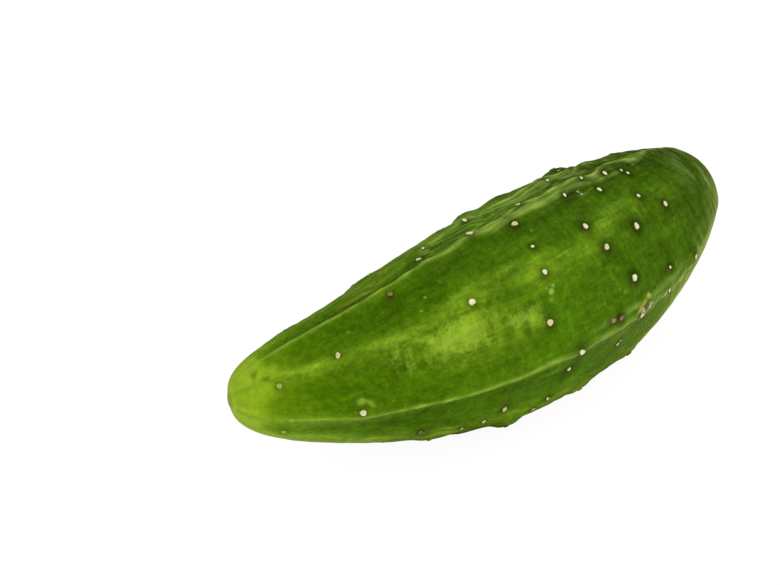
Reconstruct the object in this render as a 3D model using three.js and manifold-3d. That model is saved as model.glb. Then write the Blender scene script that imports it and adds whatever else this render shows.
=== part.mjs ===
// A pickling cucumber, picked and lying on its belly. The whole fruit is one solid: a bowed, ribbed body
// with low warts, the corky scar of a spine on each wart, a blossom scar at the pale end (-X) and a stem
// scar at the dark end (+X). The bowed side faces -Y, and the fruit rests on a small flat spot at z = 0.
import * as THREE from 'three';
import { mergeVertices } from 'three/addons/utils/BufferGeometryUtils.js';
import Module from 'manifold-3d';

// Driving dimensions, in millimetres and degrees.
const LENGTH = 127; // tip to tip, straight across the bow
const BELLY_RADIUS = 20.3; // mean radius halfway along
const TAPER = 2.2; // how much the stem half is thicker than the blossom half
const SLIMMING = 5.3; // how fast the belly thins towards both ends
const BLUNTNESS = 5.5; // how full both ends stay
const SHOULDER = 4; // fullness added close to the tips
const TIP_POWER = 16; // how close to the tips that starts, and the ribs end
const BOW = 10.5; // how far the axis bends towards -Y at mid-length
const BOW_LEAN = 3; // how much more of that bend is in the blossom half
const SAG = 1; // how far the middle of the axis hangs below its ends
const TWIST = -6.5; // how far the ribs turn from mid-length to the stem end
const AXIS_AT = new THREE.Vector3(0.1, 10.4, 20.7); // middle of the axis, seen from the resting spot

// Ribs, crests and furrows run from tip to tip. 'around' is measured from the top towards the bowed side,
// 'sway' is how far the line wanders on its way.
const RIBS = [
  { around: -2, height: 1.15, spread: 17, sway: 2 },
  { around: 34, height: 0.45, spread: 16, sway: 0 },
  { around: 87, height: 1.25, spread: 17, sway: 0 },
  { around: 136, height: 0.8, spread: 18, sway: 0 },
  { around: 168, height: 0.5, spread: 16, sway: 0 },
  { around: 204, height: 1.1, spread: 18, sway: 0 },
  { around: 240, height: 0.8, spread: 18, sway: 0 },
  { around: 274, height: 0.9, spread: 18, sway: 0 },
  { around: 314, height: 0.7, spread: 17, sway: 0 },
];
const CRESTS_AND_FURROWS = [
  { around: -2, height: 0.45, spread: 4.5, sway: 2 },
  { around: 87, height: 0.4, spread: 4.5, sway: 0 },
  { around: -24, height: 0.4, spread: 5, sway: 2 },
  { around: -12, height: -0.7, spread: 6, sway: 2 },
  { around: 100, height: -0.4, spread: 7, sway: 0 },
];
const RIB_FADE = 0.65; // power of the fade of the ribs towards both tips
const RIB_FADE_LEAN = 0.25; // how much sooner they fade at the stem end

// Scars at the two tips: a soft dimple with a low corky disc in it.
const STEM_SCAR = { dimpleDepth: 1.9, dimpleRadius: 5.6, discHeight: 1.2, discRadius: 3.4, edge: 0.8 };
const BLOSSOM_SCAR = { dimpleDepth: 0.6, dimpleRadius: 2.6, discHeight: 0.35, discRadius: 1.5, edge: 0.5 };

// Spines of the bowed side and the back, in lengthwise rows: [along, around, width, wart height].
const BOWED_SIDE_SPINES = [
  [-21.6, -14.3, 1.5, 0.45], [-18.4, -21.6, 1, 0.3], [-6.3, -21.7, 1.1, 0.4], [17.5, -16.5, 1, 0.4],
  [26, -28, 1, 0.3], [-32.1, 2.9, 1.5, 0.3], [-11.2, -3.5, 1.6, 0.4], [-2, 5.3, 1.7, 0.35],
  [2.5, -3.7, 1.4, 0.5], [12.5, 6.7, 1, 0.3], [20.1, 2.4, 0.9, 0.3], [20.7, 14.3, 1.4, 0.4],
  [26.7, 6, 1.3, 0.4], [30.8, 10, 0.9, 0.3], [31.3, 14.1, 1, 0.3], [-45.6, 31.1, 1.5, 0.3],
  [-20.3, 34.2, 1.9, 0.45], [-2.9, 22.5, 1, 0.25], [9.7, 29, 1.6, 0.4], [27.7, 30.8, 1.2, 0.35],
  [-56.1, 43.1, 1.4, 0.25], [-4.5, 38.6, 1.5, 0.4], [11, 44.8, 1.8, 0.45], [21.1, 45, 1.8, 0.45],
  [32.8, 45.2, 1.5, 0.35], [-7.8, 64.5, 1.9, 0.45], [14.3, 68.3, 1.9, 0.5], [25.4, 78.5, 0.9, 0.25],
  [-43.9, 83.6, 1.7, 0.35], [-3.1, 87, 1.8, 0.4], [7.7, 82.4, 1.6, 0.4], [13.9, 90, 1.5, 0.3],
  [23.9, 90.3, 1.2, 0.35], [34.8, 86.9, 1.2, 0.6], [16.4, 88.5, 1, 0.3], [-4.8, 97, 1.4, 0.35],
  [8.5, 101.8, 1, 0.3], [9.1, 100.2, 0.7, 0.2], [-55.9, 111.7, 1.3, 0.3], [-32.8, 117.2, 1.6, 0.5],
  [-17.1, 112.6, 1.6, 0.45], [-7.3, 118, 1.1, 0.35], [-20.4, 121.2, 1.2, 0.4], [-9.6, 124.6, 1.1, 0.35],
  [-24.3, 124.9, 0.9, 0.3], [-28.5, 143, 1.1, 0.45], [-12.5, 142.5, 1.2, 1], [4.5, 136.5, 1.3, 0.55],
  [18, 132.5, 1.3, 0.45],
];

// Spines of the far side and the underside: one row to each of these lines, filled in by drawn steps.
const FAR_SIDE_ROWS = [152, 170, 189, 208, 227, 246, 265, 284, 303, 321];
const ROW_START = -55;
const ROW_END = 54;
const STEP = { least: 12, spare: 11 };
const ROW_SCATTER = 8;
const SPINE_WIDTH = { least: 1.1, spare: 0.8 };
const WART_HEIGHT = { least: 0.25, spare: 0.75 };
const WART_RADIUS = 2.8;
const LOW_WARTS = { from: -0.9, run: 0.5, least: 0.15 }; // far warts stay low towards the blossom tip
const CLEAR_OF_REST = 2.2; // no spine starts lower than this above the surface

// A spine scar is a six-sided button with its root sunk in the flesh.
const BUTTON_SIDES = 6;
const BUTTON_RISE = 0.35;
const BUTTON_ROOT = 1.2;
const BUTTON_TAPER = 0.72; // top width to foot width

// How finely the skin is divided.
const RINGS = 56;
const SIDES = 60;

const HALF = LENGTH / 2;

// The same draws come out each time.
let drawState = 27;
function draw() {
  drawState = (drawState * 1664525 + 1013904223) % 4294967296;
  return drawState / 4294967296;
}

function wrapDegrees(angle) {
  return angle - 360 * Math.round(angle / 360);
}

// Height of the ribs and furrows over the round section; s runs from -1 at the blossom tip to 1.
function ribHeight(s, around) {
  let height = 0;
  for (const line of [...RIBS, ...CRESTS_AND_FURROWS]) {
    const off = wrapDegrees(around - line.around - line.sway * Math.sin(Math.PI * s));
    height += line.height * Math.exp(-((off / line.spread) ** 2));
  }
  for (const rib of RIBS) {
    height -= (rib.height * rib.spread * Math.sqrt(Math.PI)) / 360;
  }
  return height * Math.max(0, 1 - s * s) ** (RIB_FADE + RIB_FADE_LEAN * s) * (1 - s ** TIP_POWER);
}

// How deep the tip is sunk at this distance from the axis: a dimple, less the disc standing in it.
function scarDepth(scar, radius) {
  const dimple = scar.dimpleDepth * Math.exp(-((radius / scar.dimpleRadius) ** 2));
  return dimple - scar.discHeight / (1 + Math.exp((4 * (radius - scar.discRadius)) / scar.edge));
}

// A point of the skin, raised by 'rise' over the ribbed body.
function skinPoint(s, around, rise = 0) {
  const round = Math.sqrt(Math.max(0, 1 - s * s));
  const girth = BELLY_RADIUS + TAPER * s - SLIMMING * s ** 2 + BLUNTNESS * s ** 4 + SHOULDER * s ** TIP_POWER;
  const radius = round * girth + ribHeight(s, around) + rise;
  const bend = BOW - BOW_LEAN * s;
  const slope = (2 * s * bend + (1 - s * s) * BOW_LEAN) / HALF;
  const run = 1 / Math.hypot(1, slope);
  const forward = new THREE.Vector3(run, slope * run, 0);
  const sideways = new THREE.Vector3(slope * run, -run, 0);
  const angle = THREE.MathUtils.degToRad(around + TWIST * s);
  const point = new THREE.Vector3(HALF * s, -(1 - s * s) * bend, -(1 - s * s) * SAG);
  point.addScaledVector(sideways, radius * Math.sin(angle));
  point.z += radius * Math.cos(angle);
  const scar = s > 0 ? STEM_SCAR : BLOSSOM_SCAR;
  point.addScaledVector(forward, -Math.sign(s) * scarDepth(scar, radius));
  return point.add(AXIS_AT);
}

function makeSpine(along, around, width, wart) {
  const s = along / HALF;
  const step = 0.01;
  const foot = skinPoint(s, around);
  const lengthwise = skinPoint(s + step, around).sub(skinPoint(s - step, around));
  const crosswise = skinPoint(s, around + 1).sub(skinPoint(s, around - 1));
  return { foot, out: crosswise.cross(lengthwise).normalize(), width, wart };
}

// All spines: those of the bowed side, and the rows of the far side that don't touch the surface.
function makeSpines() {
  const spines = BOWED_SIDE_SPINES.map((spine) => makeSpine(...spine));
  for (const row of FAR_SIDE_ROWS) {
    let along = ROW_START + STEP.least * draw();
    while (along < ROW_END) {
      const around = row + ROW_SCATTER * (draw() - 0.5);
      const width = SPINE_WIDTH.least + SPINE_WIDTH.spare * draw();
      const grown = (along / HALF - LOW_WARTS.from) / LOW_WARTS.run;
      const full = WART_HEIGHT.least + WART_HEIGHT.spare * draw() ** 2;
      const wart = full * Math.min(1, Math.max(LOW_WARTS.least, grown));
      const spine = makeSpine(along, around, width, wart);
      if (spine.foot.z > CLEAR_OF_REST) {
        spines.push(spine);
      }
      along += STEP.least + STEP.spare * draw();
    }
  }
  return spines;
}

// Warts are round domes.
function wartRise(point, spines) {
  let rise = 0;
  for (const spine of spines) {
    rise += spine.wart * Math.exp(-((point.distanceTo(spine.foot) / WART_RADIUS) ** 3));
  }
  return rise;
}

// The skin as rings of points from tip to tip, with whatever would sink below the surface pressed flat.
function makeBody(spines) {
  const positions = [];
  const triangles = [];
  const addPoint = (s, around) => {
    const rise = wartRise(skinPoint(s, around), spines);
    const point = skinPoint(s, around, rise);
    positions.push(point.x, point.y, Math.max(0, point.z));
  };
  addPoint(-1, 0);
  for (let ring = 1; ring < RINGS; ring += 1) {
    for (let side = 0; side < SIDES; side += 1) {
      addPoint(-Math.cos((Math.PI * ring) / RINGS), (360 * side) / SIDES);
    }
  }
  addPoint(1, 0);
  const lastPoint = 1 + (RINGS - 1) * SIDES;
  const at = (ring, side) => 1 + (ring - 1) * SIDES + (side % SIDES);
  for (let side = 0; side < SIDES; side += 1) {
    triangles.push(0, at(1, side + 1), at(1, side));
    for (let ring = 1; ring < RINGS - 1; ring += 1) {
      triangles.push(at(ring, side), at(ring + 1, side + 1), at(ring + 1, side));
      triangles.push(at(ring, side), at(ring, side + 1), at(ring + 1, side + 1));
    }
    triangles.push(lastPoint, at(RINGS - 1, side), at(RINGS - 1, side + 1));
  }
  const geometry = new THREE.BufferGeometry();
  geometry.setAttribute('position', new THREE.Float32BufferAttribute(positions, 3));
  geometry.setIndex(triangles);
  return geometry;
}

function makeButton(spine) {
  const foot = spine.width / 2;
  const tall = BUTTON_RISE + BUTTON_ROOT;
  const geometry = new THREE.CylinderGeometry(foot * BUTTON_TAPER, foot, tall, BUTTON_SIDES);
  geometry.translate(0, spine.wart + BUTTON_RISE - tall / 2, 0);
  const upright = new THREE.Vector3(0, 1, 0);
  geometry.applyQuaternion(new THREE.Quaternion().setFromUnitVectors(upright, spine.out));
  geometry.translate(spine.foot.x, spine.foot.y, spine.foot.z);
  return geometry;
}

const wasm = await Module();
wasm.setup();

function toSolid(geometry) {
  geometry.deleteAttribute('normal');
  geometry.deleteAttribute('uv');
  const merged = mergeVertices(geometry);
  return new wasm.Manifold(new wasm.Mesh({
    numProp: 3,
    vertProperties: merged.getAttribute('position').array,
    triVerts: new Uint32Array(merged.getIndex().array),
  }));
}

function toGeometry(solid) {
  const mesh = solid.getMesh();
  const geometry = new THREE.BufferGeometry();
  geometry.setAttribute('position', new THREE.BufferAttribute(mesh.vertProperties, 3));
  geometry.setIndex(new THREE.BufferAttribute(mesh.triVerts, 1));
  geometry.computeVertexNormals();
  return geometry;
}

function makeCucumber() {
  const spines = makeSpines();
  let solid = toSolid(makeBody(spines));
  for (const spine of spines) {
    solid = solid.add(toSolid(makeButton(spine)));
  }
  const skin = new THREE.MeshStandardMaterial({ color: 0x4f7a12, roughness: 0.4, metalness: 0 });
  const cucumber = new THREE.Mesh(toGeometry(solid), skin);
  cucumber.name = 'cucumber';
  return cucumber;
}

const part = new THREE.Group();
part.add(makeCucumber());

export default part;
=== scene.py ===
"""A pickling cucumber lying on its belly on a pale table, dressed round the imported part."""
import math

import bpy
import numpy as np
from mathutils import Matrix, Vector


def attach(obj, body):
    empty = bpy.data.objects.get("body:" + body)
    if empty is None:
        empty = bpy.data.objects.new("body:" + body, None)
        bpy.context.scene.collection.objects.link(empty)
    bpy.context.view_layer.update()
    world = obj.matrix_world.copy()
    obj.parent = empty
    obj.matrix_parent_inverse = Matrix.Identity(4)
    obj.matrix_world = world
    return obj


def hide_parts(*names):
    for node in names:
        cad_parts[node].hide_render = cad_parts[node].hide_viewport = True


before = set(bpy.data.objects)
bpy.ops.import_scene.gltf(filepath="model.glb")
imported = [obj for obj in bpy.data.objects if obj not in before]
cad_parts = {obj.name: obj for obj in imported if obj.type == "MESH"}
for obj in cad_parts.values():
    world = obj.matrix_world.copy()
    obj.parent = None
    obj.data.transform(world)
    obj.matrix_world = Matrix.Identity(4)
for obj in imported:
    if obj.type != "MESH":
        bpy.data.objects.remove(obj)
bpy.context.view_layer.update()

MM = 0.001

# The fruit's form, the same as in the part: millimetres and degrees.
LENGTH = 127
BELLY_RADIUS = 20.3
TAPER = 2.2
SLIMMING = 5.3
BLUNTNESS = 5.5
SHOULDER = 4
TIP_POWER = 16
BOW = 10.5
BOW_LEAN = 3
SAG = 1
TWIST = -6.5
AXIS_AT = (0.1, 10.4, 20.7)
HALF = LENGTH / 2

# Each line that runs from tip to tip: around, height, spread, sway.
RIBS = [
    (-2, 1.15, 17, 2),
    (34, 0.45, 16, 0),
    (87, 1.25, 17, 0),
    (136, 0.8, 18, 0),
    (168, 0.5, 16, 0),
    (204, 1.1, 18, 0),
    (240, 0.8, 18, 0),
    (274, 0.9, 18, 0),
    (314, 0.7, 17, 0),
]
CRESTS_AND_FURROWS = [
    (-2, 0.45, 4.5, 2),
    (87, 0.4, 4.5, 0),
    (-24, 0.4, 5, 2),
    (-12, -0.7, 6, 2),
    (100, -0.4, 7, 0),
]
RIB_FADE = 0.65
RIB_FADE_LEAN = 0.25

# Scars of the two tips: dimple depth and radius, disc height and radius, softness of the disc's edge.
STEM_SCAR = (1.9, 5.6, 1.2, 3.4, 0.8)
BLOSSOM_SCAR = (0.6, 2.6, 0.35, 1.5, 0.5)

# Spines of the bowed side, in lengthwise rows: along, around, width, wart height.
BOWED_SIDE_SPINES = [
    (-21.6, -14.3, 1.5, 0.45), (-18.4, -21.6, 1, 0.3), (-6.3, -21.7, 1.1, 0.4), (17.5, -16.5, 1, 0.4),
    (26, -28, 1, 0.3), (-32.1, 2.9, 1.5, 0.3), (-11.2, -3.5, 1.6, 0.4), (-2, 5.3, 1.7, 0.35),
    (2.5, -3.7, 1.4, 0.5), (12.5, 6.7, 1, 0.3), (20.1, 2.4, 0.9, 0.3), (20.7, 14.3, 1.4, 0.4),
    (26.7, 6, 1.3, 0.4), (30.8, 10, 0.9, 0.3), (31.3, 14.1, 1, 0.3), (-45.6, 31.1, 1.5, 0.3),
    (-20.3, 34.2, 1.9, 0.45), (-2.9, 22.5, 1, 0.25), (9.7, 29, 1.6, 0.4), (27.7, 30.8, 1.2, 0.35),
    (-56.1, 43.1, 1.4, 0.25), (-4.5, 38.6, 1.5, 0.4), (11, 44.8, 1.8, 0.45), (21.1, 45, 1.8, 0.45),
    (32.8, 45.2, 1.5, 0.35), (-7.8, 64.5, 1.9, 0.45), (14.3, 68.3, 1.9, 0.5), (25.4, 78.5, 0.9, 0.25),
    (-43.9, 83.6, 1.7, 0.35), (-3.1, 87, 1.8, 0.4), (7.7, 82.4, 1.6, 0.4), (13.9, 90, 1.5, 0.3),
    (23.9, 90.3, 1.2, 0.35), (34.8, 86.9, 1.2, 0.6), (16.4, 88.5, 1, 0.3), (-4.8, 97, 1.4, 0.35),
    (8.5, 101.8, 1, 0.3), (9.1, 100.2, 0.7, 0.2), (-55.9, 111.7, 1.3, 0.3), (-32.8, 117.2, 1.6, 0.5),
    (-17.1, 112.6, 1.6, 0.45), (-7.3, 118, 1.1, 0.35), (-20.4, 121.2, 1.2, 0.4),
    (-9.6, 124.6, 1.1, 0.35), (-24.3, 124.9, 0.9, 0.3), (-28.5, 143, 1.1, 0.45), (-12.5, 142.5, 1.2, 1),
    (4.5, 136.5, 1.3, 0.55), (18, 132.5, 1.3, 0.45),
]

# Spines of the far side and the underside, drawn in the same order as the part draws them.
FAR_SIDE_ROWS = [152, 170, 189, 208, 227, 246, 265, 284, 303, 321]
ROW_START = -55
ROW_END = 54
STEP_LEAST, STEP_SPARE = 12, 11
ROW_SCATTER = 8
WIDTH_LEAST, WIDTH_SPARE = 1.1, 0.8
WART_LEAST, WART_SPARE = 0.25, 0.75
WART_RADIUS = 2.8
WART_POWER = 3
LOW_WARTS_FROM, LOW_WARTS_RUN, LOW_WARTS_LEAST = -0.9, 0.5, 0.15
CLEAR_OF_REST = 2.2
FIRST_DRAW = 27

# How finely the skin is divided. Sides lie closer along the fine lines: around, spread, how much closer.
RINGS = 330
SIDES = 288
CLOSE_SIDES = [(87, 6, 2.2), (-9, 15, 1.6)]
ANGLE_STEPS = 3600

# A relief is a sum of waves: how many, and their lengths in mm, along and round the fruit. Each wave's own
# length is drawn, as a share of that.
WAVE_LEAST, WAVE_SPARE = 0.7, 0.9

# Fine raised lines along the crests: around, sway, the s where each starts and ends, height.
FINE_LINES = [
    (1, 5.5, -0.9, 0.18, 0.36),
    (-3, 3.5, -0.25, 0.95, 0.34),
    (86.8, -1.2, -0.9, -0.04, 0.32),
    (80.5, 4, 0.03, 0.45, 0.2),
    (86.3, 7, -0.04, 0.65, 0.32),
    (89, 4, 0.3, 0.8, 0.2),
    (2, 4, -0.12, 0.4, 0.2),
    (-0.5, 3, 0.2, 0.8, 0.15),
    (-23, 1, -0.25, 0.6, 0.3),
    (-18.5, 1, 0.0, 0.55, 0.22),
]
# How wide they are in degrees, as relief and as a paler colour; towards the stem that colour is partly a
# painted sheen.
FINE_LINE_SPREAD = 1.4
PALE_LINE_SPREAD = 1.5
# Half the stretch over which each rises at its start and fades at its end, in s.
LINE_START = 0.08
LINE_END = 0.1
# They wander by degrees, further towards the stem, and their height is uneven.
LINE_WANDER = (10, 14, 60)
WANDER_LEAST, WANDER_AT_STEM = 0.4, 0.7
WANDER_FROM, WANDER_TO = -0.1, 0.5
LINE_UNEVENNESS = (10, 5, 40)
LINE_HEIGHT, LINE_SWING = 0.85, 0.2
LINE_LOWEST, LINE_HIGHEST = 0.3, 1.3
LINE_DRAW = 23

# The skin's unevenness, and the height of each relief in mm: everywhere, and what each place adds.
SWELLS = (14, 34, 26)
CLUMPS = (12, 16, 20)
RIPPLES = (26, 3.2, 14)
WRINKLES = (30, 16, 2.6)
STRANDS = (30, 14, 1.3)
SWELL_HEIGHT = 0.1
RIPPLE_HEIGHT, RIPPLE_IN_CLUMP, RIPPLE_AT_STEM = 0.014, 0.016, 0.018
WRINKLE_HEIGHT, WRINKLE_IN_FURROW, WRINKLE_AT_STEM = 0.01, 0.09, 0.015
WRINKLE_BELOW_CREST, WRINKLE_BESIDE_RIDGE = 0.05, 0.06
STRAND_BELOW_CREST, STRAND_BESIDE_RIDGE = 0.05, 0.01
# Ripples stand in clumps, where that relief is high, and grow over the first of these stretches of s. The
# bands that wrinkle beside the crests grow over the second.
CLUMP_LOW, CLUMP_HIGH = -1, 1.5
STEM_FROM, STEM_TO = 0.1, 0.8
MIDDLE_FROM, MIDDLE_TO = -0.2, 0.4
# Bands that wrinkle more: around, sway, spread.
FURROW = (-16, 2, 11)
BELOW_CREST = (3, 3, 8)
BESIDE_RIDGE = (94, 0, 22)
RELIEF_DRAW = 5

# Stripes from tip to tip: around, half width, and how pale they are at five places from the blossom tip to
# the stem, less than 0 where they are darker than the rest.
STRIPES = [
    (-38, 6, (0.5, 0.3, 0.3, 0.2, 0)),
    (-27, 6, (0.4, 0.2, 0.1, -0.3, 0)),
    # At -13, in the upper furrow, the dark is partly painted shade.
    (-13, 4.5, (0.1, -0.5, 0, -0.4, -0.3)),
    # At -5, on the upper crest, the dark at the middle is painted shade and the pale towards the stem is
    # painted sheen.
    (-5, 3.5, (0.2, 0.15, -0.3, 0.45, 0.3)),
    # At 7, below the upper crest, the dark is partly painted shade.
    (7, 6, (0, -0.2, -0.45, -0.6, -0.3)),
    (18, 7, (0, -0.1, -0.05, -0.15, 0)),
    (34, 6.5, (0.6, 0.6, 0.55, 0.14, -0.1)),
    (45, 6, (0, 0.15, 0, 0.12, -0.2)),
    (66, 9, (-0.1, -0.05, 0, 0.05, 0)),
    (90, 6, (0.7, 0.05, 0.1, 0.1, 0.1)),
    (128, 12, (0.85, 0.7, 0.7, 0.6, 0.4)),
    (170, 10, (0.6, 0.5, 0.3, 0.1, 0)),
    (214, 8, (0.6, 0.3, 0, 0, 0)),
    (258, 9, (0.6, 0.5, 0.25, 0.1, 0)),
    (297, 7, (0.6, 0.35, 0.1, 0, 0)),
]
STRIPE_PLACES = (-1, -0.5, 0, 0.5, 1)
# They wander by degrees, and are patchy.
STRIPE_WANDER = (8, 40, 60)
WANDER_OF_STRIPES = 2.5
STRIPE_PATCHES = (14, 14, 9)
PATCHINESS = 0.22
STRIPE_DRAW = 11

# A pale satin patch where the window's highlight falls, partly paler skin and partly a painted highlight:
# along, around, half length, half width in mm.
PATCHES_AND_HIGHLIGHTS = [(-25.5, 51, 8, 4.3), (-36.5, 48, 1.2, 2.4), (-34.6, 58, 0.8, 2.2), (-11, 56, 4, 2)]

# A spine scar from its middle outwards: share of its radius, height in mm.
SCAR_PROFILE = [(0.18, 0.15), (0.4, 0.21), (0.62, 0.21), (0.8, 0.17), (0.92, 0.1), (1.0, 0.01), (1.04, -0.2)]
SCAR_MIDDLE = 0.12
SCAR_SIDES = 22
SCAR_SHARE = 0.8
# Its outline has lobes, which are waves round it and how far they reach. Chance stretches it and sets how
# tall it is.
SCAR_LOBES = [(2, 0.1), (3, 0.06), (5, 0.04)]
SCAR_STRETCH = 0.3
TALL_LEAST, TALL_SPARE = 0.8, 0.5
# A small scar is lower: the share of its height for each millimetre of its radius.
TALL_PER_RADIUS = 1.4
# It is fresh and green up to the first of these places in s, and dry from the second.
FRESH_UNTIL, DRY_FROM = -0.95, -0.6
# The scars that have gone brown: along and around, as in the lists of spines.
BROWNED = [(-32.1, 2.9), (-32.8, 117.2), (7.7, 82.4), (-12.5, 142.5)]
SCAR_DRAW = 19

# The dark halo round a scar, wider and stronger once ripe: its reach past a margin, as a share of the scar's
# width, and its strength.
RIPE_FROM, RIPE_TO = -0.6, 0.3
HALO_MARGIN = 0.3
HALO_REACH, REACH_IF_RIPE, REACH_SPARE = 0.42, 0.4, 0.3
HALO_STRENGTH, STRENGTH_IF_RIPE, STRENGTH_SPARE = 0.35, 0.55, 0.25
HALO_DRAW = 3
# The moat round a scar: its depth in mm, its radius as a share of the scar's width, and its width in mm.
MOAT_DEPTH, MOAT_AT, MOAT_WIDTH = 0.08, 0.62, 0.4
# Past this many millimetres, how far a scar is makes no difference.
FAR_FROM_SCARS = 4.0
# Where the corky disc of a tip gives way to rind, as shares of its radius.
DISC_WITHIN, DISC_PAST = 0.8, 1.15


class Draws:
    """Numbers from 0 to 1, the same ones each run."""

    FACTOR = 1664525
    STEP = 1013904223
    COUNT = 2**32

    def __init__(self, state):
        self.state = state

    def __call__(self):
        self.state = (self.state * self.FACTOR + self.STEP) % self.COUNT
        return self.state / self.COUNT


def wrap_degrees(angle):
    return angle - 360 * np.round(angle / 360)


def band(s, around, at, sway, spread):
    """1 along the middle of a band that runs from tip to tip, fading at its sides: s runs from -1 at the
    blossom tip to 1 at the stem."""
    off = wrap_degrees(around - at - sway * np.sin(np.pi * s))
    return np.exp(-((off / spread) ** 2))


def tip_fade(s):
    """1 at the belly and 0 at the tips; relief fades sooner at the stem end."""
    return np.maximum(0, 1 - s * s) ** (RIB_FADE + RIB_FADE_LEAN * s) * (1 - s**TIP_POWER)


def rib_height(s, around):
    """Height of the ribs, crests and furrows over the round section."""
    height = 0
    for at, high, spread, sway in RIBS + CRESTS_AND_FURROWS:
        height = height + high * band(s, around, at, sway, spread)
    mean = sum(high * spread * math.sqrt(math.pi) / 360 for _, high, spread, _ in RIBS)
    return (height - mean) * tip_fade(s)


def scar_depth(scar, radius):
    """How deep a tip is sunk at this distance from the axis: a dimple, less the disc standing in it."""
    dimple_depth, dimple_radius, disc_height, disc_radius, edge = scar
    dimple = dimple_depth * np.exp(-((radius / dimple_radius) ** 2))
    return dimple - disc_height / (1 + np.exp(4 * (radius - disc_radius) / edge))


def skin_point(s, around, rise=0.0):
    """Points of the skin in millimetres, raised by rise over the ribbed body."""
    s, around, rise = np.broadcast_arrays(np.asarray(s, float), np.asarray(around, float), rise)
    girth = BELLY_RADIUS + TAPER * s - SLIMMING * s**2 + BLUNTNESS * s**4 + SHOULDER * s**TIP_POWER
    radius = np.sqrt(np.maximum(0, 1 - s * s)) * girth + rib_height(s, around) + rise
    bend = BOW - BOW_LEAN * s
    slope = (2 * s * bend + (1 - s * s) * BOW_LEAN) / HALF
    run = 1 / np.hypot(1, slope)
    angle = np.radians(around + TWIST * s)
    across = radius * np.sin(angle)
    sunk = np.sign(s) * np.where(s > 0, scar_depth(STEM_SCAR, radius), scar_depth(BLOSSOM_SCAR, radius))
    x = HALF * s + across * slope * run - sunk * run
    y = -(1 - s * s) * bend - across * run - sunk * slope * run
    z = radius * np.cos(angle) - (1 - s * s) * SAG
    return np.stack([x, y, z], axis=-1) + AXIS_AT


def make_spine(along, around, width, wart):
    """A spine's foot on the skin, the way out of it, and how far a millimetre goes in s and in degrees."""
    s = along / HALF
    step = 0.01
    lengthwise = skin_point(s + step, around) - skin_point(s - step, around)
    crosswise = skin_point(s, around + 1) - skin_point(s, around - 1)
    out = np.cross(crosswise, lengthwise)
    return {
        "foot": skin_point(s, around),
        "out": out / np.linalg.norm(out),
        "s": s,
        "along": along,
        "around": around,
        "s_per_mm": 2 * step / np.linalg.norm(lengthwise),
        "degrees_per_mm": 2 / np.linalg.norm(crosswise),
        "width": width,
        "wart": wart,
    }


def make_spines():
    """All spines, as in the part: the bowed side's, then the rows that stay clear of the table."""
    draw = Draws(FIRST_DRAW)
    spines = [make_spine(*spine) for spine in BOWED_SIDE_SPINES]
    for row in FAR_SIDE_ROWS:
        along = ROW_START + STEP_LEAST * draw()
        while along < ROW_END:
            around = row + ROW_SCATTER * (draw() - 0.5)
            width = WIDTH_LEAST + WIDTH_SPARE * draw()
            grown = (along / HALF - LOW_WARTS_FROM) / LOW_WARTS_RUN
            wart = min(1, max(LOW_WARTS_LEAST, grown)) * (WART_LEAST + WART_SPARE * draw() ** 2)
            spine = make_spine(along, around, width, wart)
            if spine["foot"][2] > CLEAR_OF_REST:
                spines.append(spine)
            along += STEP_LEAST + STEP_SPARE * draw()
    return spines


def wart_rise(points, spines):
    """Warts are round domes."""
    rise = np.zeros(points.shape[:-1])
    for spine in spines:
        apart = np.sqrt(((points - spine["foot"]) ** 2).sum(-1))
        rise += spine["wart"] * np.exp(-((apart / WART_RADIUS) ** WART_POWER))
    return rise


def drawn_waves(places, draw, count, lengthwise, crosswise):
    """A smooth relief of mean 0 and spread 1: waves of these lengths in mm, along and round the fruit."""
    relief = np.zeros(places.shape[:-1])
    for _ in range(count):
        turn = 2 * math.pi * draw()
        along = 2 * math.pi / (lengthwise * (WAVE_LEAST + WAVE_SPARE * draw()))
        across = 2 * math.pi / (crosswise * (WAVE_LEAST + WAVE_SPARE * draw()))
        wave = along * places[..., 0] + across * math.cos(turn) * places[..., 1]
        wave += across * math.sin(turn) * places[..., 2]
        relief += np.cos(wave + 2 * math.pi * draw())
    return relief / math.sqrt(count / 2)


def smooth_step(low, high, value):
    t = np.clip((value - low) / (high - low), 0, 1)
    return t * t * (3 - 2 * t)


def straightened(s, around):
    """The same point on a straight, round fruit: patterns drawn there have no seam and follow the ribs."""
    angle = np.radians(around)
    radius = BELLY_RADIUS * np.sqrt(np.maximum(0, 1 - s * s))
    return np.stack([HALF * s, radius * np.sin(angle), radius * np.cos(angle)], axis=-1)


def fine_lines(s, around, spread):
    """The fine lines of the crests, 0 off them and their heights on them: uneven, never quite straight."""
    draw = Draws(LINE_DRAW)
    places = straightened(s, around)
    wandering = WANDER_LEAST + WANDER_AT_STEM * smooth_step(WANDER_FROM, WANDER_TO, s)
    wander = wandering * drawn_waves(places, draw, *LINE_WANDER)
    unevenness = LINE_HEIGHT + LINE_SWING * drawn_waves(places, draw, *LINE_UNEVENNESS)
    total = np.zeros(np.shape(s))
    for at, sway, first, last, high in FINE_LINES:
        ends = smooth_step(first - LINE_START, first + LINE_START, s)
        ends = ends * (1 - smooth_step(last - LINE_END, last + LINE_END, s))
        total += high * ends * band(s, around + wander, at, sway, spread)
    return total * np.clip(unevenness, LINE_LOWEST, LINE_HIGHEST)


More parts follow.
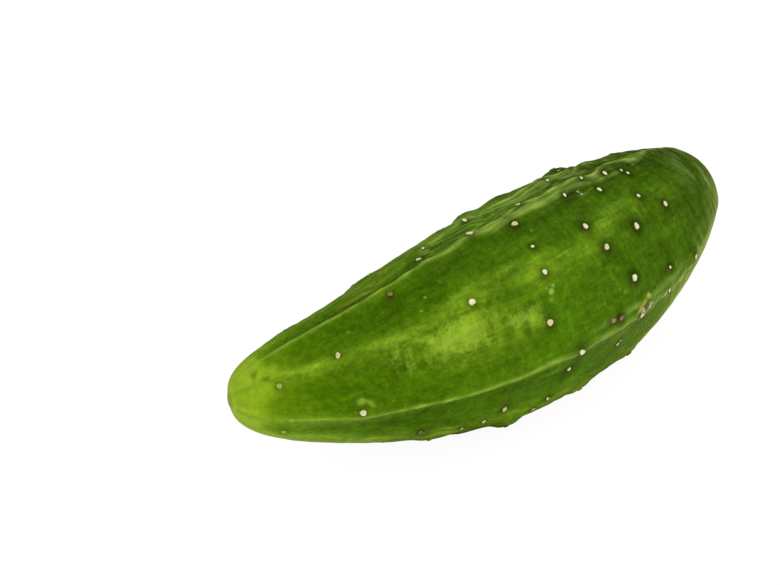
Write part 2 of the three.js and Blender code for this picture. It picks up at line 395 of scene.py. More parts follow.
def skin_relief(s, around):
    """Unevenness of the skin in mm: swells, fine ripples across it, wrinkles and strands along the furrow and
    the crests, and the fine lines."""
    draw = Draws(RELIEF_DRAW)
    places = straightened(s, around)
    swells = drawn_waves(places, draw, *SWELLS)
    clumps = smooth_step(CLUMP_LOW, CLUMP_HIGH, drawn_waves(places, draw, *CLUMPS))
    ripples = drawn_waves(places, draw, *RIPPLES)
    wrinkles = drawn_waves(places, draw, *WRINKLES)
    strands = drawn_waves(places, draw, *STRANDS)
    at_stem = smooth_step(STEM_FROM, STEM_TO, s)
    past_middle = smooth_step(MIDDLE_FROM, MIDDLE_TO, s)
    furrow = band(s, around, *FURROW)
    below_crest = past_middle * band(s, around, *BELOW_CREST)
    beside_ridge = past_middle * band(s, around, *BESIDE_RIDGE)
    ripple_height = RIPPLE_HEIGHT + RIPPLE_IN_CLUMP * clumps + RIPPLE_AT_STEM * at_stem
    wrinkle_height = WRINKLE_HEIGHT + WRINKLE_IN_FURROW * furrow + WRINKLE_AT_STEM * at_stem
    wrinkle_height += WRINKLE_BELOW_CREST * below_crest + WRINKLE_BESIDE_RIDGE * beside_ridge
    strand_height = STRAND_BELOW_CREST * below_crest + STRAND_BESIDE_RIDGE * beside_ridge
    relief = SWELL_HEIGHT * swells + ripple_height * ripples
    relief += wrinkle_height * wrinkles + strand_height * strands
    return (relief + fine_lines(s, around, FINE_LINE_SPREAD)) * tip_fade(s)


def new_mesh(name, points, faces, values):
    """A mesh object from points in millimetres, with named values on its points."""
    mesh = bpy.data.meshes.new(name)
    mesh.from_pydata((np.asarray(points) * MM).tolist(), [], faces)
    for key, value in values.items():
        kind = "FLOAT_VECTOR" if value.ndim == 2 else "FLOAT"
        field = "vector" if value.ndim == 2 else "value"
        mesh.attributes.new(key, kind, "POINT").data.foreach_set(field, value.astype(np.float32).ravel())
    mesh.polygons.foreach_set("use_smooth", [True] * len(mesh.polygons))
    mesh.update()
    made = bpy.data.objects.new(name, mesh)
    bpy.context.scene.collection.objects.link(made)
    return made


def tube_faces(rings, sides):
    """Faces of a closed form: a first point, rings of points and a last point."""
    faces = []
    last = 1 + rings * sides
    for side in range(sides):
        near, far = 1 + side, 1 + (side + 1) % sides
        faces.append((0, far, near))
        for ring in range(rings - 1):
            here, there = ring * sides, (ring + 1) * sides
            faces.append((here + near, here + far, there + far, there + near))
        top = (rings - 1) * sides
        faces.append((last, top + near, top + far))
    return faces


def paleness(s, around):
    """How pale the skin is from its stripes: 1 is palest, and less than 0 is dark."""
    draw = Draws(STRIPE_DRAW)
    places = straightened(s, around)
    wander = WANDER_OF_STRIPES * drawn_waves(places, draw, *STRIPE_WANDER)
    patchy = 1 + PATCHINESS * drawn_waves(places, draw, *STRIPE_PATCHES)
    total = np.zeros(np.shape(s))
    for at, half_width, strengths in STRIPES:
        total += np.interp(s, STRIPE_PLACES, strengths) * band(s, around + wander, at, 0, half_width)
    return np.clip(total * patchy, -1, 1)


def pale_patch_and_highlight(s, around):
    """How strong the pale satin patch is, 0.5 at its edge: partly paler skin, partly a painted highlight."""
    thickest = np.zeros(np.shape(s))
    for along, at, half_length, half_width in PATCHES_AND_HIGHLIGHTS:
        off = np.radians(wrap_degrees(around - at)) * BELLY_RADIUS
        reach = ((HALF * s - along) / half_length) ** 2 + (off / half_width) ** 2
        thickest = np.maximum(thickest, np.exp(-math.log(2) * reach))
    return thickest


def side_angles():
    """Angles of the skin's sides, closer together where the fine lines run."""
    around = np.linspace(0, 360, ANGLE_STEPS + 1)
    closeness = 1 + sum(closer * band(0, around, at, 0, spread) for at, spread, closer in CLOSE_SIDES)
    share = np.concatenate([[0], np.cumsum(closeness[:-1])]) / closeness[:-1].sum()
    return np.interp(np.arange(SIDES) / SIDES, share, around)


def round_the_scars(smooth, spines):
    """How dark the halos are, how deep the moats, and how far the nearest scar's edge is in mm."""
    halo = np.zeros(len(smooth))
    moat = np.zeros(len(smooth))
    edge = np.full(len(smooth), FAR_FROM_SCARS)
    draw = Draws(HALO_DRAW)
    for spine in spines:
        width = spine["width"]
        apart = np.sqrt(((smooth - spine["foot"]) ** 2).sum(-1))
        ripe = smooth_step(RIPE_FROM, RIPE_TO, spine["s"])
        reach = HALO_MARGIN + width * (HALO_REACH + REACH_IF_RIPE * ripe + REACH_SPARE * draw())
        strength = HALO_STRENGTH + STRENGTH_IF_RIPE * ripe + STRENGTH_SPARE * draw()
        halo = np.maximum(halo, strength * np.exp(-((apart / reach) ** 2)))
        moat += MOAT_DEPTH * np.exp(-(((apart - MOAT_AT * width) / MOAT_WIDTH) ** 2))
        edge = np.minimum(edge, apart - SCAR_SHARE * width / 2)
    return halo, moat, edge


def make_skin(spines):
    """The rind: a closed form of rings, with the values on its points that its material reads."""
    ring_s = -np.cos(np.pi * np.arange(1, RINGS) / RINGS)
    s, around = (grid.ravel() for grid in np.meshgrid(ring_s, side_angles(), indexing="ij"))
    s = np.concatenate([[-1.0], s, [1.0]])
    around = np.concatenate([[0.0], around, [0.0]])
    smooth = skin_point(s, around)
    halo, moat, edge = round_the_scars(smooth, spines)
    rise = wart_rise(smooth, spines) + skin_relief(s, around) - moat
    points = skin_point(s, around, rise)
    points[:, 2] = np.maximum(points[:, 2], 0)
    from_axis = np.sqrt(np.maximum(0, 1 - s * s)) * BELLY_RADIUS
    _, _, _, stem_disc, _ = STEM_SCAR
    _, _, _, blossom_disc, _ = BLOSSOM_SCAR
    values = {
        "straight": straightened(s, around),
        "along": s,
        "halo": halo,
        "pale": paleness(s, around),
        "line": fine_lines(s, around, PALE_LINE_SPREAD),
        "patch_and_highlight": pale_patch_and_highlight(s, around),
        "edge": edge,
        "cork": 1 - smooth_step(DISC_WITHIN, DISC_PAST, from_axis / np.where(s > 0, stem_disc, blossom_disc)),
    }
    skin = new_mesh("skin", points, tube_faces(RINGS - 1, SIDES), values)
    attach(skin, "root")
    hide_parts("cucumber")
    return skin


def lobed_outline(angle, phases):
    """A round outline with lobes, as shares of its radius."""
    outline = 1
    for (count, reach), phase in zip(SCAR_LOBES, phases):
        outline = outline + reach * np.cos(count * angle + phase)
    return outline


def make_spine_scars(spines):
    """The corky scar on each wart: a low button with a sunken middle."""
    draw = Draws(SCAR_DRAW)
    angle = 2 * np.pi * np.arange(SCAR_SIDES) / SCAR_SIDES
    rings = [(0.0, SCAR_MIDDLE, 1)] + [(share, high, SCAR_SIDES) for share, high in SCAR_PROFILE]
    points, faces, ring_value, tint_value, fresh_value = [], [], [], [], []
    for spine in spines:
        radius = SCAR_SHARE * spine["width"] / 2
        stretch = 1 + SCAR_STRETCH * (draw() - 0.5)
        turn = 2 * math.pi * draw()
        outline = lobed_outline(angle, [2 * math.pi * draw() for _ in SCAR_LOBES])
        browned = (spine["along"], spine["around"]) in BROWNED
        tint = draw() * (not browned)
        tall = (TALL_LEAST + TALL_SPARE * draw()) * min(1, radius * TALL_PER_RADIUS)
        fresh = 1 - smooth_step(FRESH_UNTIL, DRY_FROM, spine["s"])
        start = len(points)
        for share, high, count in rings:
            reach = radius * share * outline[:count]
            wide = reach * np.cos(angle[:count]) * stretch
            narrow = reach * np.sin(angle[:count]) / stretch
            ahead = wide * math.cos(turn) - narrow * math.sin(turn)
            aside = wide * math.sin(turn) + narrow * math.cos(turn)
            s = spine["s"] + ahead * spine["s_per_mm"]
            around = spine["around"] + aside * spine["degrees_per_mm"]
            bare = skin_point(s, around)
            on_skin = skin_point(s, around, wart_rise(bare, spines) + skin_relief(s, around))
            points += (on_skin + high * tall * spine["out"]).tolist()
            ring_value += [share] * count
            tint_value += [tint] * count
            fresh_value += [fresh] * count
        for side in range(SCAR_SIDES):
            after = (side + 1) % SCAR_SIDES
            faces.append((start, start + 1 + after, start + 1 + side))
            for ring in range(len(SCAR_PROFILE) - 1):
                here = start + 1 + ring * SCAR_SIDES
                there = here + SCAR_SIDES
                faces.append((here + side, here + after, there + after, there + side))
    values = {"ring": ring_value, "tint": tint_value, "fresh": fresh_value}
    scars = new_mesh("spine_scars", points, faces, {key: np.array(value) for key, value in values.items()})
    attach(scars, "root")
    return scars


def colour(code):
    """A linear colour from an sRGB hex code."""
    parts = [int(code[i : i + 2], 16) / 255 for i in (1, 3, 5)]
    return [c / 12.92 if c <= 0.04045 else ((c + 0.055) / 1.055) ** 2.4 for c in parts] + [1]


def add_node(tree, kind, inputs=(), stops=None, **settings):
    """Adds a node with its settings and links. Inputs are given in order or by name, and each is a value, a
    socket, or a node whose first output in use is linked."""
    made = tree.nodes.new("ShaderNode" + kind)
    for name, value in settings.items():
        setattr(made, name, value)
    named = inputs if isinstance(inputs, dict) else dict(enumerate(inputs))
    for key, value in named.items():
        socket = made.inputs[key] if isinstance(key, int) else next(
            entry for entry in made.inputs if entry.name == key and entry.enabled
        )
        if isinstance(value, bpy.types.Node):
            value = next(output for output in value.outputs if output.enabled)
        if isinstance(value, bpy.types.NodeSocket):
            tree.links.new(value, socket)
        else:
            socket.default_value = value
    if stops:
        ramp = made.color_ramp.elements
        while len(ramp) < len(stops):
            ramp.new(0.5)
        for element, (place, code) in zip(ramp, stops):
            element.position = place
            element.color = colour(code)
    return made


def new_material(name):
    material = bpy.data.materials.new(name)
    material.use_nodes = True
    material.node_tree.nodes.clear()
    return material, material.node_tree


# Marks on the skin: along, around, half length and half width in mm, turn from lengthwise, colour, strength.
# Most are stains, scars and flecks; a few are painted glints and painted shade, noted where they stand.
MARKS = [
    (14.6, 84.6, 2.7, 0.55, -22, "#9aa03c", 0.85),
    (15.0, 85.8, 2.2, 0.55, -20, "#4a4010", 0.9),
    (16.9, 82.8, 0.7, 0.5, -10, "#b8b45a", 0.8),
    (13.3, 86.4, 0.8, 0.35, -20, "#a8a648", 0.7),
    (6.9, 82, 2.8, 1.1, 5, "#3c300e", 0.85),
    (5.9, 81.3, 0.55, 0.4, 0, "#a8906a", 0.85),
    (14.1, 89.8, 0.9, 1.3, 0, "#dccfa6", 1),
    (16.6, 88.8, 1.1, 0.7, -12, "#d6caa2", 0.9),
    # These two are painted glints on the lower crest.
    (22.6, 91, 1.8, 0.4, -20, "#a9b67e", 0.8),
    (20, 89.5, 1.8, 0.3, -10, "#93a866", 0.7),
    (-36, -18, 5, 0.8, 6, "#7f8c1c", 0.7),
    (-30, -19.5, 2.5, 0.6, 0, "#7f9020", 0.55),
    (-42, -9, 2, 1.2, 0, "#4a3c10", 0.85),
    (-38, -11, 2.2, 1.4, 8, "#3c3410", 0.9),
    (-33.5, -13, 2.6, 1.2, 8, "#4d4412", 0.85),
    (13.3, 71.8, 0.5, 0.5, 0, "#5f5218", 0.75),
    (19.4, 81, 0.5, 0.5, 0, "#223f04", 0.7),
    (-4.9, 49.8, 0.6, 0.8, 20, "#a3bc4c", 0.75),
    (-4.1, 47.2, 0.5, 0.35, 0, "#a8be58", 0.6),
    (-5.6, 46.8, 0.35, 0.3, 0, "#a3bc4c", 0.6),
    (16.4, 7.8, 0.3, 0.35, 0, "#c8cc9c", 0.8),
    (16.5, 10.2, 0.25, 0.35, 0, "#c8cc9c", 0.8),
    (19.5, 11.2, 0.9, 0.15, 0, "#7fa050", 0.6),
    (-43.8, 74.5, 0.9, 1, 30, "#93ae36", 0.7),
    (-42.3, 77.5, 0.6, 1.2, -30, "#93ae36", 0.5),
    (-55, 88, 0.5, 0.7, 0, "#a9c04c", 0.6),
    # This dark spot is partly darker skin and partly painted shade of a small pit.
    (-28.8, 43.5, 0.45, 0.5, 0, "#3c5f08", 0.85),
    (-38.6, 41, 0.7, 0.7, 0, "#44690a", 0.6),
    (-59.3, 14, 0.7, 0.9, 10, "#56780e", 0.75),
    (-57.8, 28, 0.8, 0.7, -10, "#56780e", 0.7),
    (-27, 17, 0.35, 0.35, 0, "#87aa30", 0.7),
    (-29, 24.6, 0.45, 0.4, 0, "#87aa30", 0.7),
    (-10.6, 26.6, 0.4, 0.35, 0, "#87aa30", 0.6),
    (24.6, 79, 1.2, 0.2, 30, "#5c4a1c", 0.6),
    # These three are painted shade in the dark pockets beside warts.
    (2, -1.2, 1.5, 0.8, 0, "#2a4a06", 0.6),
    (27.8, 4.5, 1.2, 0.9, 0, "#2a4a06", 0.6),
    (25.4, -20, 3, 1.6, 0, "#2c4a0a", 0.6),
]


# The rind's green, from the blossom tip to the stem.
GREENS = [
    (0.0, "#a0bd2a"),
    (0.025, "#8fb31e"),
    (0.05, "#668c0d"),
    (0.1, "#4f7604"),
    (0.155, "#456b04"),
    (0.48, "#466d05"),
    (0.6, "#426704"),
    (0.7, "#406304"),
    (0.83, "#3a5a04"),
    (1.0, "#395805"),
]
# Patterns of the rind: how they are scaled along, across and up, the size of their features in mm, detail.
# Streaks are drawn out lengthwise, and hatching and the strokes of painted sheen lie across.
RIND_PATTERNS = {
    "streaks": ((0.12, 1, 1), 1.8, 3),
    "fine_streaks": ((0.12, 1, 1), 0.6, 3),
    "hatching": ((1, 0.12, 0.12), 0.7, 3),
    "sheen_strokes": ((1, 0.3, 0.3), 1.6, 3),
    "blotches": ((1, 1, 1), 9, 3),
    "mottle": ((1, 1, 1), 1.5, 4),
    "speckle": ((1, 1, 1), 0.6, 2),
    "fibres": ((1, 1, 1), 0.7, 4),
}
# How much lighter and darker each of them makes the green.
SHADES = {"streaks": 0.14, "fine_streaks": 0.12, "blotches": 0.15, "mottle": 0.2, "speckle": 0.16}
FRECKLE_SPACING = 2.8
# Sizes in mm of the bumps of the rind and of the cork's grain.
RIND_BUMP = 0.08
CORK_GRAIN = 0.35
CORK_BUMP = 0.06


def rind_values(tree):
    """What the rind's coats are made from, by name: values that the mesh holds, patterns, and the share of
    the stem half."""
    place = add_node(tree, "Attribute", attribute_name="straight").outputs["Vector"]
    given = {"place": place}
    for name in ("along", "halo", "pale", "line", "patch_and_highlight", "edge", "cork"):
        given[name] = add_node(tree, "Attribute", attribute_name=name).outputs["Fac"]
    for name, (scales, size, detail) in RIND_PATTERNS.items():
        scaled = add_node(tree, "VectorMath", (place, scales), operation="MULTIPLY")
        given[name] = add_node(tree, "TexNoise", {"Vector": scaled, "Scale": 1 / size, "Detail": detail})
    towards_stem = add_node(tree, "MapRange", (given["along"], -0.3, 0.8, 0.15, 1.0))
    short_of_tip = add_node(tree, "MapRange", (given["along"], 0.75, 0.95, 1.0, 0.15))
    given["stem_half"] = add_node(tree, "Math", (towards_stem, short_of_tip), operation="MULTIPLY")
    return given


def growing_green(tree, given):
    """The green deepens fast from the blossom tip, then slowly to the stem."""
    depth = add_node(tree, "Math", (given["blotches"], 0.3, given["along"]), operation="MULTIPLY_ADD")
    depth = add_node(tree, "MapRange", (depth, -0.85, 1.15, 0.0, 1.0))
    return add_node(tree, "ValToRGB", {"Fac": depth}, stops=GREENS)


# The coats of the rind, each a strength, a colour, and how it is mixed into what lies under it.


def stripe_coats(tree, given):
    """Pale streaked stripes run from tip to tip, with dark ones between them. Along the upper crest and
    furrow some of that pale is painted sheen and some of that dark is painted shade.
    """
    streaked = add_node(tree, "MapRange", (given["streaks"], 0.3, 0.7, 0.7, 1.3))
    pale = add_node(tree, "MapRange", (given["pale"], 0, 1, 0, 1))
    pale = add_node(tree, "Math", (streaked, pale), operation="MULTIPLY")
    dark = add_node(tree, "MapRange", (given["pale"], 0, -1, 0, 1))
    return [(pale, colour("#82a822"), "MIX"), (dark, colour("#223a02"), "MIX")]


def shade_coats(tree, given):
    """Streaks, blotches and specks lighten and darken the green, least at the blossom tip."""
    grown = add_node(tree, "MapRange", (given["along"], -0.98, -0.75, 0.3, 1.0))
    return [
        (grown, add_node(tree, "MapRange", (given[name], 0.3, 0.7, 1 - swing, 1 + swing)), "MULTIPLY")
        for name, swing in SHADES.items()
    ]


def ripple_and_sheen_coats(tree, given):
    """Fine ripples cross the skin, strongest towards the stem, and their lighter and darker bands are painted
    light and shade; pale strokes of painted sheen lie round the stem.
    """
    # The ripples' light and dark and the pale strokes below are painted light, shade and sheen.
    ripples = add_node(tree, "MapRange", (given["hatching"], 0.3, 0.7, 0.78, 1.22))
    sheen_strokes = add_node(tree, "MapRange", (given["sheen_strokes"], 0.5, 0.68, 0.0, 0.65))
    patchy = add_node(tree, "MapRange", (given["blotches"], 0.4, 0.6, 0.25, 1.0))
    past_start = add_node(tree, "MapRange", (given["along"], 0.65, 0.85, 0.0, 1.0))
    short_of_tip = add_node(tree, "MapRange", (given["along"], 0.97, 0.88, 0.0, 1.0))
    for share in (patchy, past_start, short_of_tip):
        sheen_strokes = add_node(tree, "Math", (sheen_strokes, share), operation="MULTIPLY")
    return [(given["stem_half"], ripples, "MULTIPLY"), (sheen_strokes, colour("#8fa966"), "MIX")]


def line_and_sheen_coats(tree, given):
    """The skin is paler along the fine lines: partly paler skin, and towards the stem a grey-green painted
    sheen.
    """
    pale_line_and_sheen = add_node(
        tree,
        "Mix",
        {"Factor": given["stem_half"], "A": colour("#93b03c"), "B": colour("#93ab5e")},
        data_type="RGBA",
    )
    on_line = add_node(tree, "MapRange", (given["line"], 0.0, 0.3, 0.0, 0.75))
    streaked = add_node(tree, "MapRange", (given["fine_streaks"], 0.35, 0.65, 0.5, 1.2))
    line_and_sheen_share = add_node(tree, "Math", (on_line, streaked), operation="MULTIPLY")
    return [(line_and_sheen_share, pale_line_and_sheen, "MIX")]


def patch_and_highlight_coats(tree, given):
    """The skin is painted paler in the satin patch, partly as paler skin and partly as a painted highlight,
    which the patterns break up.
    """
    patch_and_highlight_share = given["patch_and_highlight"]
    for name, share in (("mottle", 1.4), ("speckle", 0.8), ("hatching", 0.9)):
        patch_and_highlight_share = add_node(tree, "Math", (given[name], share, patch_and_highlight_share), operation="MULTIPLY_ADD")
    patch_and_highlight_share = add_node(tree, "MapRange", (patch_and_highlight_share, 1.95, 2.65, 0.0, 0.42))
    return [(patch_and_highlight_share, colour("#9bbb40"), "MIX")]


def freckle_coats(tree, given):
    """Pale freckles, less than a millimetre across, stand in some of the cells."""
    cells = add_node(tree, "TexVoronoi", {"Vector": given["place"], "Scale": 1 / FRECKLE_SPACING})
    freckle = add_node(tree, "MapRange", (cells.outputs["Distance"], 0.05, 0.22, 1.0, 0.0))
    chance = add_node(tree, "SeparateColor", (cells.outputs["Color"],)).outputs[0]
    chosen = add_node(tree, "MapRange", (chance, 0.75, 1.0, 0.0, 0.5))
    freckle = add_node(tree, "Math", (freckle, chosen), operation="MULTIPLY")
    return [(freckle, colour("#8fae30"), "MIX")]


def collar_coats(tree, given):
    """Each scar stands in a dark green halo and a thin brown rim."""
    uneven = add_node(tree, "MapRange", (given["mottle"], 0.35, 0.65, 0.8, 1.1))
    ringed = add_node(tree, "Math", (given["halo"], uneven), operation="MULTIPLY")
    rim = add_node(tree, "Math", (given["mottle"], 0.5, given["edge"]), operation="MULTIPLY_ADD")
    rim = add_node(tree, "MapRange", (rim, 0.2, 0.7, 0.85, 0.0))
    rim = add_node(tree, "Math", (rim, given["halo"]), operation="MULTIPLY")
    return [(ringed, colour("#1a2f03"), "MIX"), (rim, colour("#3a2c0c"), "MIX")]


def mark_axes(around, half_length, half_width, turn):
    """The two axes of a mark, by which a place on the straight fruit is measured in shares of the mark."""
    angle, tilt = math.radians(around), math.radians(turn)
    round_way = Vector((0, math.cos(angle), -math.sin(angle)))
    lengthwise = Vector((1, 0, 0))
    return (
        (math.cos(tilt) * lengthwise + math.sin(tilt) * round_way) / half_length,
        (math.cos(tilt) * round_way - math.sin(tilt) * lengthwise) / half_width,
    )


def mark_coats(tree, given):
    """The marks are ovals with ragged edges. They are measured along and round the skin, but not in depth, so
    each of them also shows, mirrored, on the opposite side of the fruit."""
    ragged = add_node(tree, "Math", (given["mottle"], 1.4, given["speckle"]), operation="MULTIPLY_ADD")
    coats = []
    for at, around, half_length, half_width, turn, code, strength in MARKS:
        centre = straightened(at / HALF, around)
        off = add_node(tree, "VectorMath", (given["place"], centre), operation="SUBTRACT")
        shares = [
            add_node(tree, "VectorMath", (off, axis), operation="DOT_PRODUCT")
            for axis in mark_axes(around, half_length, half_width, turn)
        ]
        spot = add_node(tree, "CombineXYZ", shares)
        spot = add_node(tree, "VectorMath", (spot,), operation="LENGTH")
        spot = add_node(tree, "Math", (ragged, spot), operation="ADD")
        inside = add_node(tree, "MapRange", (spot, 1.5, 2.3, strength, 0.0))
        coats.append((inside, colour(code), "MIX"))
    return coats


def disc_coats(tree, given):
    """The discs of the two tips are cork, and still greenish at the blossom tip."""
    stops = [(0.35, "#6a5c2e"), (0.65, "#b5a56c")]
    cork = add_node(tree, "ValToRGB", {"Fac": given["fibres"]}, stops=stops)
    still_green = add_node(tree, "MapRange", (given["along"], -0.5, 0.5, 0.9, 0))
    disc = add_node(
        tree, "Mix", {"Factor": still_green, "A": cork, "B": colour("#94a636")}, data_type="RGBA"
    )
    return [(given["cork"], disc, "MIX")]


RIND_COATS = (
    stripe_coats,
    shade_coats,
    ripple_and_sheen_coats,
    line_and_sheen_coats,
    patch_and_highlight_coats,
    freckle_coats,
    collar_coats,
    mark_coats,
    disc_coats,
)


def rind_finish(tree, given):
    """How dull the rind is, and its fine bumps: they run lengthwise, and towards the stem some also cross the
    skin on its upper side."""
    dullness = add_node(tree, "MapRange", (given["mottle"], 0.3, 0.7, 0.21, 0.31))
    dullness = add_node(tree, "Math", (given["cork"], 0.4, dullness), operation="MULTIPLY_ADD")
    height = add_node(tree, "SeparateXYZ", (given["place"],)).outputs["Z"]
    upper = add_node(tree, "MapRange", (height, -4, 1, 0.0, 1.0))
    crossing = add_node(tree, "Math", (given["stem_half"], upper), operation="MULTIPLY")
    grain = (given["hatching"], crossing, given["fine_streaks"])
    grain = add_node(tree, "Math", grain, operation="MULTIPLY_ADD")
    bump = add_node(tree, "Bump", {"Strength": 0.4, "Distance": RIND_BUMP * MM, "Height": grain})
    return dullness, bump


def make_skin_material():
    """Cucumber rind, grown: wax over a green that is pale at the blossom end and deep at the stem end. The
    wax gives it a soft satin shine, and the rind is mottled, streaked lengthwise and dark round each wart."""
    material, tree = new_material("waxy_cucumber_rind")
    given = rind_values(tree)
    rind = growing_green(tree, given)
    for coats in RIND_COATS:
        for strength, coat, how in coats(tree, given):
            layers = {"Factor": strength, "A": rind, "B": coat}
            rind = add_node(tree, "Mix", layers, data_type="RGBA", blend_type=how)
    dullness, bump = rind_finish(tree, given)
    shader = add_node(
        tree,
        "BsdfPrincipled",
        {
            "Base Color": rind,
            "Roughness": dullness,
            "IOR": 1.45,
            "Specular IOR Level": 0.85,
            "Specular Tint": colour("#dcff3c"),
            "Normal": bump,
            "Subsurface Weight": 0.1,
            "Subsurface Radius": (0.6, 1.0, 0.2),
            "Subsurface Scale": 1.2 * MM,
        },
    )
    add_node(tree, "OutputMaterial", {"Surface": shader})
    return material


def make_scar_material():
    """Cork, dried on the plant: cream and dull, browner at its edge, still greenish at the blossom end."""
    material, tree = new_material("dry_cork_of_spine_scars")
    ring, tint, fresh = (
        add_node(tree, "Attribute", attribute_name=name).outputs["Fac"] for name in ("ring", "tint", "fresh")
    )
    spot = add_node(tree, "TexCoord").outputs["Object"]
    grain = add_node(tree, "TexNoise", {"Vector": spot, "Scale": 1 / (CORK_GRAIN * MM), "Detail": 3})
    across = [(0.0, "#b4ae80"), (0.25, "#e6e4c4"), (0.65, "#eae8ca"), (0.86, "#b4b07a"), (1.0, "#5c5824")]
    cork = add_node(tree, "ValToRGB", {"Fac": ring}, stops=across)
    stains = [(0.0, "#7c6c30"), (0.02, "#e2dcb4"), (0.4, "#fdffee")]
    stained = add_node(tree, "ValToRGB", {"Fac": tint}, stops=stains)
    grainy = add_node(tree, "MapRange", (grain, 0.3, 0.7, 0.82, 1.12))
    coats = ((0.9, stained, "MULTIPLY"), (fresh, colour("#8fa834"), "MIX"), (1.0, grainy, "MULTIPLY"))
    for strength, coat, how in coats:
        layers = {"Factor": strength, "A": cork, "B": coat}
        cork = add_node(tree, "Mix", layers, data_type="RGBA", blend_type=how)
    bump = add_node(tree, "Bump", {"Strength": 0.4, "Distance": CORK_BUMP * MM, "Height": grain})
    shader = add_node(
        tree, "BsdfPrincipled", {"Base Color": cork, "Roughness": 0.62, "IOR": 1.45, "Normal": bump}
    )
    add_node(tree, "OutputMaterial", {"Surface": shader})
    return material


# The table is plain white paper. As the camera sees it, it is mostly a glow of its own, so that it is nearly
# shadowless. The wax mirrors it as a glow that differs from side to side, and that is darker far off and
# close to the fruit, where the dark is a painted shadow of the fruit.
PAPER = "#e2e2e0"
SEEN_PAPER = "#6b6b6a"
SEEN_GLOW = 0.92
TABLE_REACH = 4.0
# Azimuths of the paper, and how bright the wax mirrors it there.
MIRRORED_PAPER = [
    (-180, "#8a9a48"),
    (-150, "#9aac50"),
    (-97, "#ccd87a"),
    (-85, "#9aa858"),
    (-72, "#4a5234"),
    (-30, "#5c6040"),
    (-15, "#b4b87c"),
    (55, "#b4b87c"),
    (75, "#868f4c"),
    (82, "#ccd67c"),
    (96, "#ccd67c"),
    (106, "#b0ba68"),
    (122, "#c0cc70"),
    (133, "#5a6434"),
    (146, "#a0b058"),
    (180, "#8a9a48"),
]
# How far off it lies, in metres, and the share of that brightness there; the low share close by is a painted
# shadow of the fruit.
MIRRORED_NEARNESS = [
    (0.02, "#4c4c4c"),
    (0.053, "#ffffff"),
    (0.11, "#ffffff"),
    (0.16, "#cccccc"),
    (0.22, "#898989"),
]


def mirrored_paper(tree, spot):
    """The glow that the wax mirrors, by azimuth and distance."""
    x, y, _ = add_node(tree, "SeparateXYZ", (spot,)).outputs
    towards_front = add_node(tree, "Math", (y, -1), operation="MULTIPLY")
    azimuth = add_node(tree, "Math", (x, towards_front), operation="ARCTAN2")
    azimuth = add_node(tree, "MapRange", (azimuth, -math.pi, math.pi, 0, 1))
    sides = [((place + 180) / 360, code) for place, code in MIRRORED_PAPER]
    glow = add_node(tree, "ValToRGB", {"Fac": azimuth}, stops=sides)
    distance = add_node(tree, "VectorMath", (spot,), operation="LENGTH")
    nearness = add_node(tree, "ValToRGB", {"Fac": distance}, stops=MIRRORED_NEARNESS)
    layers = {"Factor": 1.0, "A": glow, "B": nearness}
    return add_node(tree, "Mix", layers, data_type="RGBA", blend_type="MULTIPLY")


def make_paper():
    """White paper: matt, without a shine of its own; its glow is painted light."""
    material, tree = new_material("white_paper")
    path = add_node(tree, "LightPath")
    seen, glossy = path.outputs["Is Camera Ray"], path.outputs["Is Glossy Ray"]
    paper = {"Factor": seen, "A": colour(PAPER), "B": colour(SEEN_PAPER)}
    paper = add_node(tree, "Mix", paper, data_type="RGBA")
    paper = {"Factor": glossy, "A": paper, "B": colour("#000000")}
    paper = add_node(tree, "Mix", paper, data_type="RGBA")
    spot = add_node(tree, "TexCoord").outputs["Object"]
    glow = {"Factor": glossy, "A": colour("#ffffff"), "B": mirrored_paper(tree, spot)}
    glow = add_node(tree, "Mix", glow, data_type="RGBA")
    glow_strength = add_node(tree, "Math", (seen, SEEN_GLOW, glossy), operation="MULTIPLY_ADD")
    shader = add_node(
        tree,
        "BsdfPrincipled",
        {
            "Base Color": paper,
            "Roughness": 0.8,
            "Specular IOR Level": 0,
            "Emission Color": glow,
            "Emission Strength": glow_strength,
        },
    )
    add_node(tree, "OutputMaterial", {"Surface": shader})
    return material


def make_floor():
    """A plain pale table, far wider than the view."""
    mesh = bpy.data.meshes.new("table")
    corners = [(x * TABLE_REACH, y * TABLE_REACH, 0) for x, y in ((-1, -1), (1, -1), (1, 1), (-1, 1))]
    mesh.from_pydata(corners, [], [(0, 1, 2, 3)])
    table = bpy.data.objects.new("table", mesh)
    bpy.context.scene.collection.objects.link(table)
    mesh.materials.append(make_paper())


# Camera: where it looks from, in degrees and metres, and how far off the axis's middle it aims.
CAMERA_AZIMUTH = -41.69
CAMERA_ELEVATION = 32
CAMERA_DISTANCE = 0.55
AIM_RIGHT = -0.01707
AIM_UP = -0.00219
LENS = 127.05
SENSOR = 36


def direction(azimuth, elevation):
    """Towards a place seen from the fruit: azimuth 0 is -Y and 90 is +X, elevation is above the table."""
    a, e = math.radians(azimuth), math.radians(elevation)
    return Vector((math.sin(a) * math.cos(e), -math.cos(a) * math.cos(e), math.sin(e)))


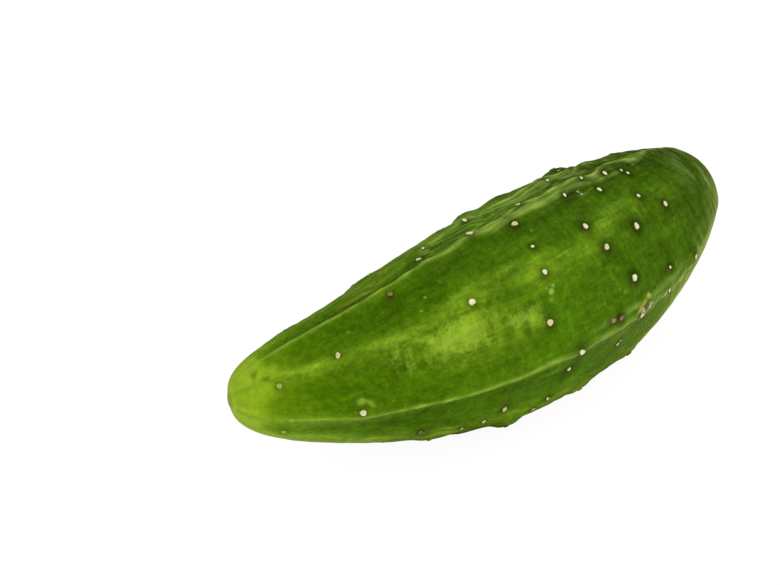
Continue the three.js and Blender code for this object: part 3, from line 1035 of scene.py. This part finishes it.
def make_camera():
    back = direction(CAMERA_AZIMUTH, CAMERA_ELEVATION)
    right = direction(CAMERA_AZIMUTH + 90, 0)
    up = back.cross(right)
    aim = Vector(AXIS_AT) * MM + AIM_RIGHT * right + AIM_UP * up
    data = bpy.data.cameras.new("camera")
    data.lens, data.sensor_width, data.clip_start = LENS, SENSOR, 0.01
    camera = bpy.data.objects.new("camera", data)
    camera.location = aim + CAMERA_DISTANCE * back
    camera.rotation_euler = back.to_track_quat("Z", "Y").to_euler()
    bpy.context.scene.collection.objects.link(camera)
    bpy.context.scene.camera = camera


# Soft boxes: azimuth, elevation, distance, width and height in metres, radiance, colour, whether the wax
# mirrors it.
SOFT_BOXES = {
    "window": (8, 29, 1.0, 0.32, 0.34, 3.2, "#ffffff", True),
    "fill": (25, 14, 1.0, 0.8, 0.45, 1.0, "#ffffff", False),
    "behind": (134, 33, 1.2, 0.6, 0.52, 1.0, "#fbffb4", True),
}
# An area light's radiance is its power over four times its area.
POWER_OF_UNIT_AREA = 4
# The studio's radiance: what lights the scene and stands behind it, and the dark that the wax mirrors.
STUDIO = 0.92
MIRRORED_STUDIO = 0.025


def make_lights():
    """The soft boxes, and the studio round them."""
    for name, (azimuth, elevation, distance, width, height, radiance, code, mirrored) in SOFT_BOXES.items():
        data = bpy.data.lights.new(name, "AREA")
        data.shape, data.size, data.size_y = "RECTANGLE", width, height
        data.energy = POWER_OF_UNIT_AREA * radiance * width * height
        data.color = colour(code)[:3]
        box = bpy.data.objects.new(name, data)
        towards = direction(azimuth, elevation)
        box.location = Vector(AXIS_AT) * MM + distance * towards
        box.rotation_euler = towards.to_track_quat("Z", "Y").to_euler()
        box.visible_glossy = mirrored
        bpy.context.scene.collection.objects.link(box)
    world = bpy.data.worlds.new("studio")
    world.use_nodes = True
    tree = world.node_tree
    tree.nodes.clear()
    glossy = add_node(tree, "LightPath").outputs["Is Glossy Ray"]
    studio = {"Factor": glossy, "A": colour("#ffffff"), "B": colour("#f0ff9c")}
    studio = add_node(tree, "Mix", studio, data_type="RGBA")
    brightness = add_node(tree, "MapRange", (glossy, 0, 1, STUDIO, MIRRORED_STUDIO))
    glow = add_node(tree, "Background", {"Color": studio, "Strength": brightness})
    add_node(tree, "OutputWorld", {"Surface": glow})
    bpy.context.scene.world = world
    bpy.context.scene.view_settings.view_transform = "Standard"


make_camera()
make_lights()
make_floor()
spines = make_spines()
skin = make_skin(spines)
skin.data.materials.append(make_skin_material())
scars = make_spine_scars(spines)
scars.data.materials.append(make_scar_material())
